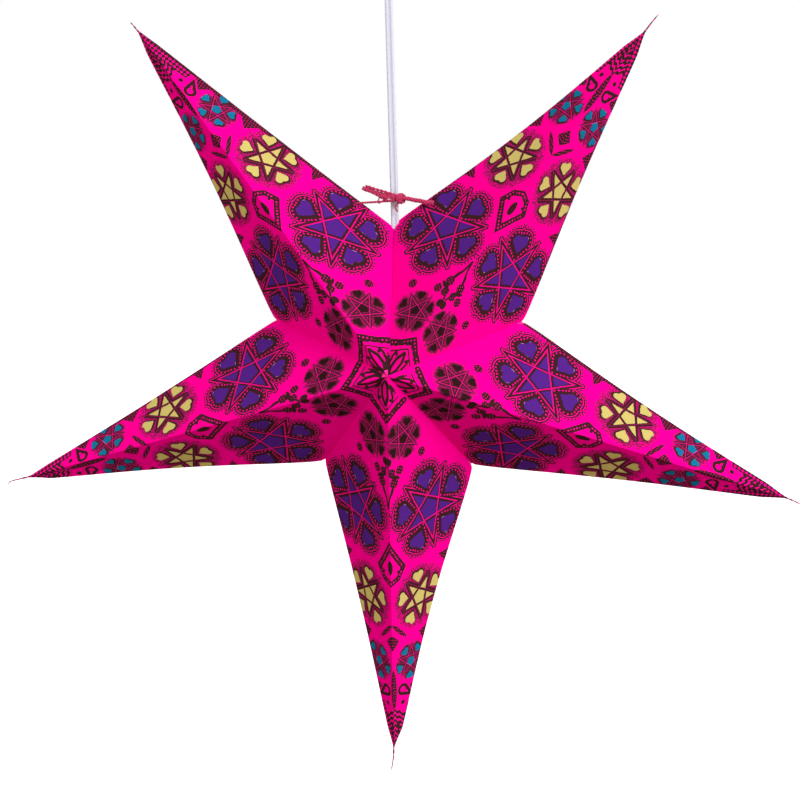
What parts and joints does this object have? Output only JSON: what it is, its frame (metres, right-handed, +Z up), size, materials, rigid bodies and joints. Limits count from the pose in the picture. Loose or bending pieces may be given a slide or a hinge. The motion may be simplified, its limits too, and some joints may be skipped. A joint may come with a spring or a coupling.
{
  "type": "paper star lantern",
  "caption": "Folding paper star lantern of creased printed card, hung on a flat lamp lead with a lampholder and bulb inside; cotton strings tie its open seam round the lead.",
  "frame": {"origin": "centre of the ceiling rose's flat back, on the ceiling, above the plumb line of the lead", "axes": "+Z up along the lead, +X to the right of the star seen from its front, +Y from its front to its back"},
  "size_m": [0.5998, 0.178, 0.6468],
  "materials": {
    "printed_card": "matt printed card",
    "plain_card": "matt card, unprinted",
    "cotton": "soft twisted cotton",
    "lead_plastic": "soft gloss",
    "holder_plastic": "gloss",
    "block_plastic": "matt",
    "contact_brass": "satin",
    "cap_metal": "satin",
    "opal_glass": "opal white",
    "rose_plastic": "gloss"
  },
  "bodies": {
    "lamp": {"centre_contact": "contact_brass", "contact_block": "block_plastic", "cord_grip": "rose_plastic", "holder_cap": "holder_plastic", "holder_sleeve": "holder_plastic", "lead": "lead_plastic", "rose_base": "rose_plastic", "rose_cover": "rose_plastic", "screw_shell": "contact_brass", "terminal_block": "block_plastic"},
    "bulb": {"bulb_cap": "cap_metal", "bulb_contact": "contact_brass", "bulb_globe": "opal_glass"},
    "bottom_front_right": {"bottom_front_right": "printed_card"},
    "right_front_lower": {"right_front_join_flap": "plain_card", "right_front_lower": "printed_card"},
    "right_front_upper": {"right_front_upper": "printed_card"},
    "top_right_front_lower": {"top_right_front_join_flap": "plain_card", "top_right_front_lower": "printed_card"},
    "top_right_front_upper": {"tie_knot": "cotton", "tie_string_right": "cotton", "tie_tail": "cotton", "top_right_front_upper": "printed_card"},
    "bottom_back_right": {"bottom_back_right": "printed_card", "bottom_closing_flap": "plain_card"},
    "right_back_lower": {"right_back_join_flap": "plain_card", "right_back_lower": "printed_card", "right_closing_flap": "plain_card"},
    "right_back_upper": {"right_back_upper": "printed_card"},
    "top_right_back_lower": {"top_right_back_join_flap": "plain_card", "top_right_back_lower": "printed_card", "top_right_closing_flap": "plain_card"},
    "top_right_back_upper": {"top_right_back_upper": "printed_card"},
    "bottom_front_left": {"bottom_front_left": "printed_card"},
    "left_front_lower": {"left_front_join_flap": "plain_card", "left_front_lower": "printed_card"},
    "left_front_upper": {"left_front_upper": "printed_card"},
    "top_left_front_lower": {"top_left_front_join_flap": "plain_card", "top_left_front_lower": "printed_card"},
    "top_left_front_upper": {"seam_front_flap": "plain_card", "tie_string_left": "cotton", "top_left_front_upper": "printed_card"},
    "bottom_back_left": {"bottom_back_left": "printed_card"},
    "left_back_lower": {"left_back_join_flap": "plain_card", "left_back_lower": "printed_card", "left_closing_flap": "plain_card"},
    "left_back_upper": {"left_back_upper": "printed_card"},
    "top_left_back_lower": {"top_left_back_join_flap": "plain_card", "top_left_back_lower": "printed_card", "top_left_closing_flap": "plain_card"},
    "top_left_back_upper": {"seam_back_flap": "plain_card", "top_left_back_upper": "printed_card"}
  },
  "joints": [
    {"name": "star_fold", "type": "hinge", "parent": "lamp", "child": "bottom_front_right", "pos_m": [-0.00587, -0.0455, -0.48841], "axis": [0.0218, -0.276, 0.9609], "range_deg": [0, 39.89]},
    {"name": "right_front_lower_crease", "type": "hinge", "parent": "bottom_front_right", "child": "right_front_lower", "pos_m": [0.02594, -0.0455, -0.37136], "axis": [0.4171, 0.6725, -0.6114], "range_deg": [0, 112.52]},
    {"name": "right_front_upper_crease", "type": "hinge", "parent": "right_front_lower", "child": "right_front_upper", "pos_m": [0.14653, -0.0455, -0.38445], "axis": [-0.9026, -0.276, 0.3303], "range_deg": [0, 79.79]},
    {"name": "top_right_front_lower_crease", "type": "hinge", "parent": "right_front_upper", "child": "top_right_front_lower", "pos_m": [0.04598, -0.0455, -0.31662], "axis": [0.7132, 0.6725, 0.1978], "range_deg": [0, 112.52]},
    {"name": "top_right_front_upper_crease", "type": "hinge", "parent": "top_right_front_lower", "child": "top_right_front_upper", "pos_m": [0.09723, -0.0455, -0.20668], "axis": [-0.6036, -0.276, -0.748], "range_deg": [0, 79.79]},
    {"name": "bottom_back_right_crease", "type": "hinge", "parent": "bottom_front_right", "child": "bottom_back_right", "pos_m": [0.02235, 0, -0.52978], "axis": [-0.2623, 0, -0.965], "range_deg": [0, 76.13]},
    {"name": "right_back_lower_crease", "type": "hinge", "parent": "right_front_lower", "child": "right_back_lower", "pos_m": [0.17475, 0, -0.42582], "axis": [-0.9942, 0, 0.1079], "range_deg": [0, 76.13]},
    {"name": "right_back_upper_crease", "type": "hinge", "parent": "right_front_upper", "child": "right_back_upper", "pos_m": [0.19478, 0, -0.37107], "axis": [0.829, 0, -0.5593], "range_deg": [0, 76.13]},
    {"name": "top_right_back_lower_crease", "type": "hinge", "parent": "top_right_front_lower", "child": "top_right_back_lower", "pos_m": [0.14548, 0, -0.1933], "axis": [-0.4225, 0, -0.9063], "range_deg": [0, 76.13]},
    {"name": "top_right_back_upper_crease", "type": "hinge", "parent": "top_right_front_upper", "child": "top_right_back_upper", "pos_m": [0.10011, 0, -0.1567], "axis": [0.7966, 0, 0.6045], "range_deg": [0, 76.13]},
    {"name": "bottom_front_left_crease", "type": "hinge", "parent": "lamp", "child": "bottom_front_left", "pos_m": [-0.00587, -0.0455, -0.48841], "axis": [-0.0218, 0.276, -0.9609], "range_deg": [0, 39.9]},
    {"name": "left_front_lower_crease", "type": "hinge", "parent": "bottom_front_left", "child": "left_front_lower", "pos_m": [-0.03234, -0.0455, -0.37004], "axis": [0.4444, -0.6725, 0.5918], "range_deg": [0, 112.52]},
    {"name": "left_front_upper_crease", "type": "hinge", "parent": "left_front_lower", "child": "left_front_upper", "pos_m": [-0.15339, -0.0455, -0.37765], "axis": [-0.9167, 0.276, -0.289], "range_deg": [0, 79.79]},
    {"name": "top_left_front_lower_crease", "type": "hinge", "parent": "left_front_upper", "child": "top_left_front_lower", "pos_m": [-0.04987, -0.0455, -0.31444], "axis": [0.7035, -0.6725, -0.2299], "range_deg": [0, 112.52]},
    {"name": "top_left_front_upper_crease", "type": "hinge", "parent": "top_left_front_lower", "child": "top_left_front_upper", "pos_m": [-0.09608, -0.0455, -0.2023], "axis": [-0.569, 0.276, 0.7746], "range_deg": [0, 79.79]},
    {"name": "bottom_back_left_crease", "type": "hinge", "parent": "bottom_front_left", "child": "bottom_back_left", "pos_m": [-0.03593, 0, -0.52845], "axis": [-0.2182, 0, 0.9759], "range_deg": [0, 76.13]},
    {"name": "left_back_lower_crease", "type": "hinge", "parent": "left_front_lower", "child": "left_back_lower", "pos_m": [-0.18346, 0, -0.41769], "axis": [-0.998, 0, -0.0627], "range_deg": [0, 76.13]},
    {"name": "left_back_upper_crease", "type": "hinge", "parent": "left_front_upper", "child": "left_back_upper", "pos_m": [-0.20099, 0, -0.36209], "axis": [0.8535, 0, 0.5211], "range_deg": [0, 76.13]},
    {"name": "top_left_back_lower_crease", "type": "hinge", "parent": "top_left_front_lower", "child": "top_left_back_lower", "pos_m": [-0.14367, 0, -0.18674], "axis": [-0.381, 0, 0.9246], "range_deg": [0, 76.13]},
    {"name": "top_left_back_upper_crease", "type": "hinge", "parent": "top_left_front_upper", "child": "top_left_back_upper", "pos_m": [-0.09669, 0, -0.15223], "axis": [0.7683, 0, -0.64], "range_deg": [0, 76.13]},
    {"name": "bulb_travel", "type": "slide", "parent": "lamp", "child": "bulb", "axis": [0, 0, -1], "range_m": [0, 0.02]}
  ],
  "couplings": [
    {"joint": "right_front_lower_crease", "follows": "star_fold", "ratio": 2.8204},
    {"joint": "right_front_upper_crease", "follows": "star_fold", "ratio": 2},
    {"joint": "top_right_front_lower_crease", "follows": "star_fold", "ratio": 2.8204},
    {"joint": "top_right_front_upper_crease", "follows": "star_fold", "ratio": 2},
    {"joint": "bottom_back_right_crease", "follows": "star_fold", "ratio": 1.9081},
    {"joint": "right_back_lower_crease", "follows": "star_fold", "ratio": 1.9081},
    {"joint": "right_back_upper_crease", "follows": "star_fold", "ratio": 1.9081},
    {"joint": "top_right_back_lower_crease", "follows": "star_fold", "ratio": 1.9081},
    {"joint": "top_right_back_upper_crease", "follows": "star_fold", "ratio": 1.9081},
    {"joint": "bottom_front_left_crease", "follows": "star_fold", "ratio": 1},
    {"joint": "left_front_lower_crease", "follows": "star_fold", "ratio": 2.8204},
    {"joint": "left_front_upper_crease", "follows": "star_fold", "ratio": 2},
    {"joint": "top_left_front_lower_crease", "follows": "star_fold", "ratio": 2.8204},
    {"joint": "top_left_front_upper_crease", "follows": "star_fold", "ratio": 2},
    {"joint": "bottom_back_left_crease", "follows": "star_fold", "ratio": 1.9081},
    {"joint": "left_back_lower_crease", "follows": "star_fold", "ratio": 1.9081},
    {"joint": "left_back_upper_crease", "follows": "star_fold", "ratio": 1.9081},
    {"joint": "top_left_back_lower_crease", "follows": "star_fold", "ratio": 1.9081},
    {"joint": "top_left_back_upper_crease", "follows": "star_fold", "ratio": 1.9081}
  ]
}
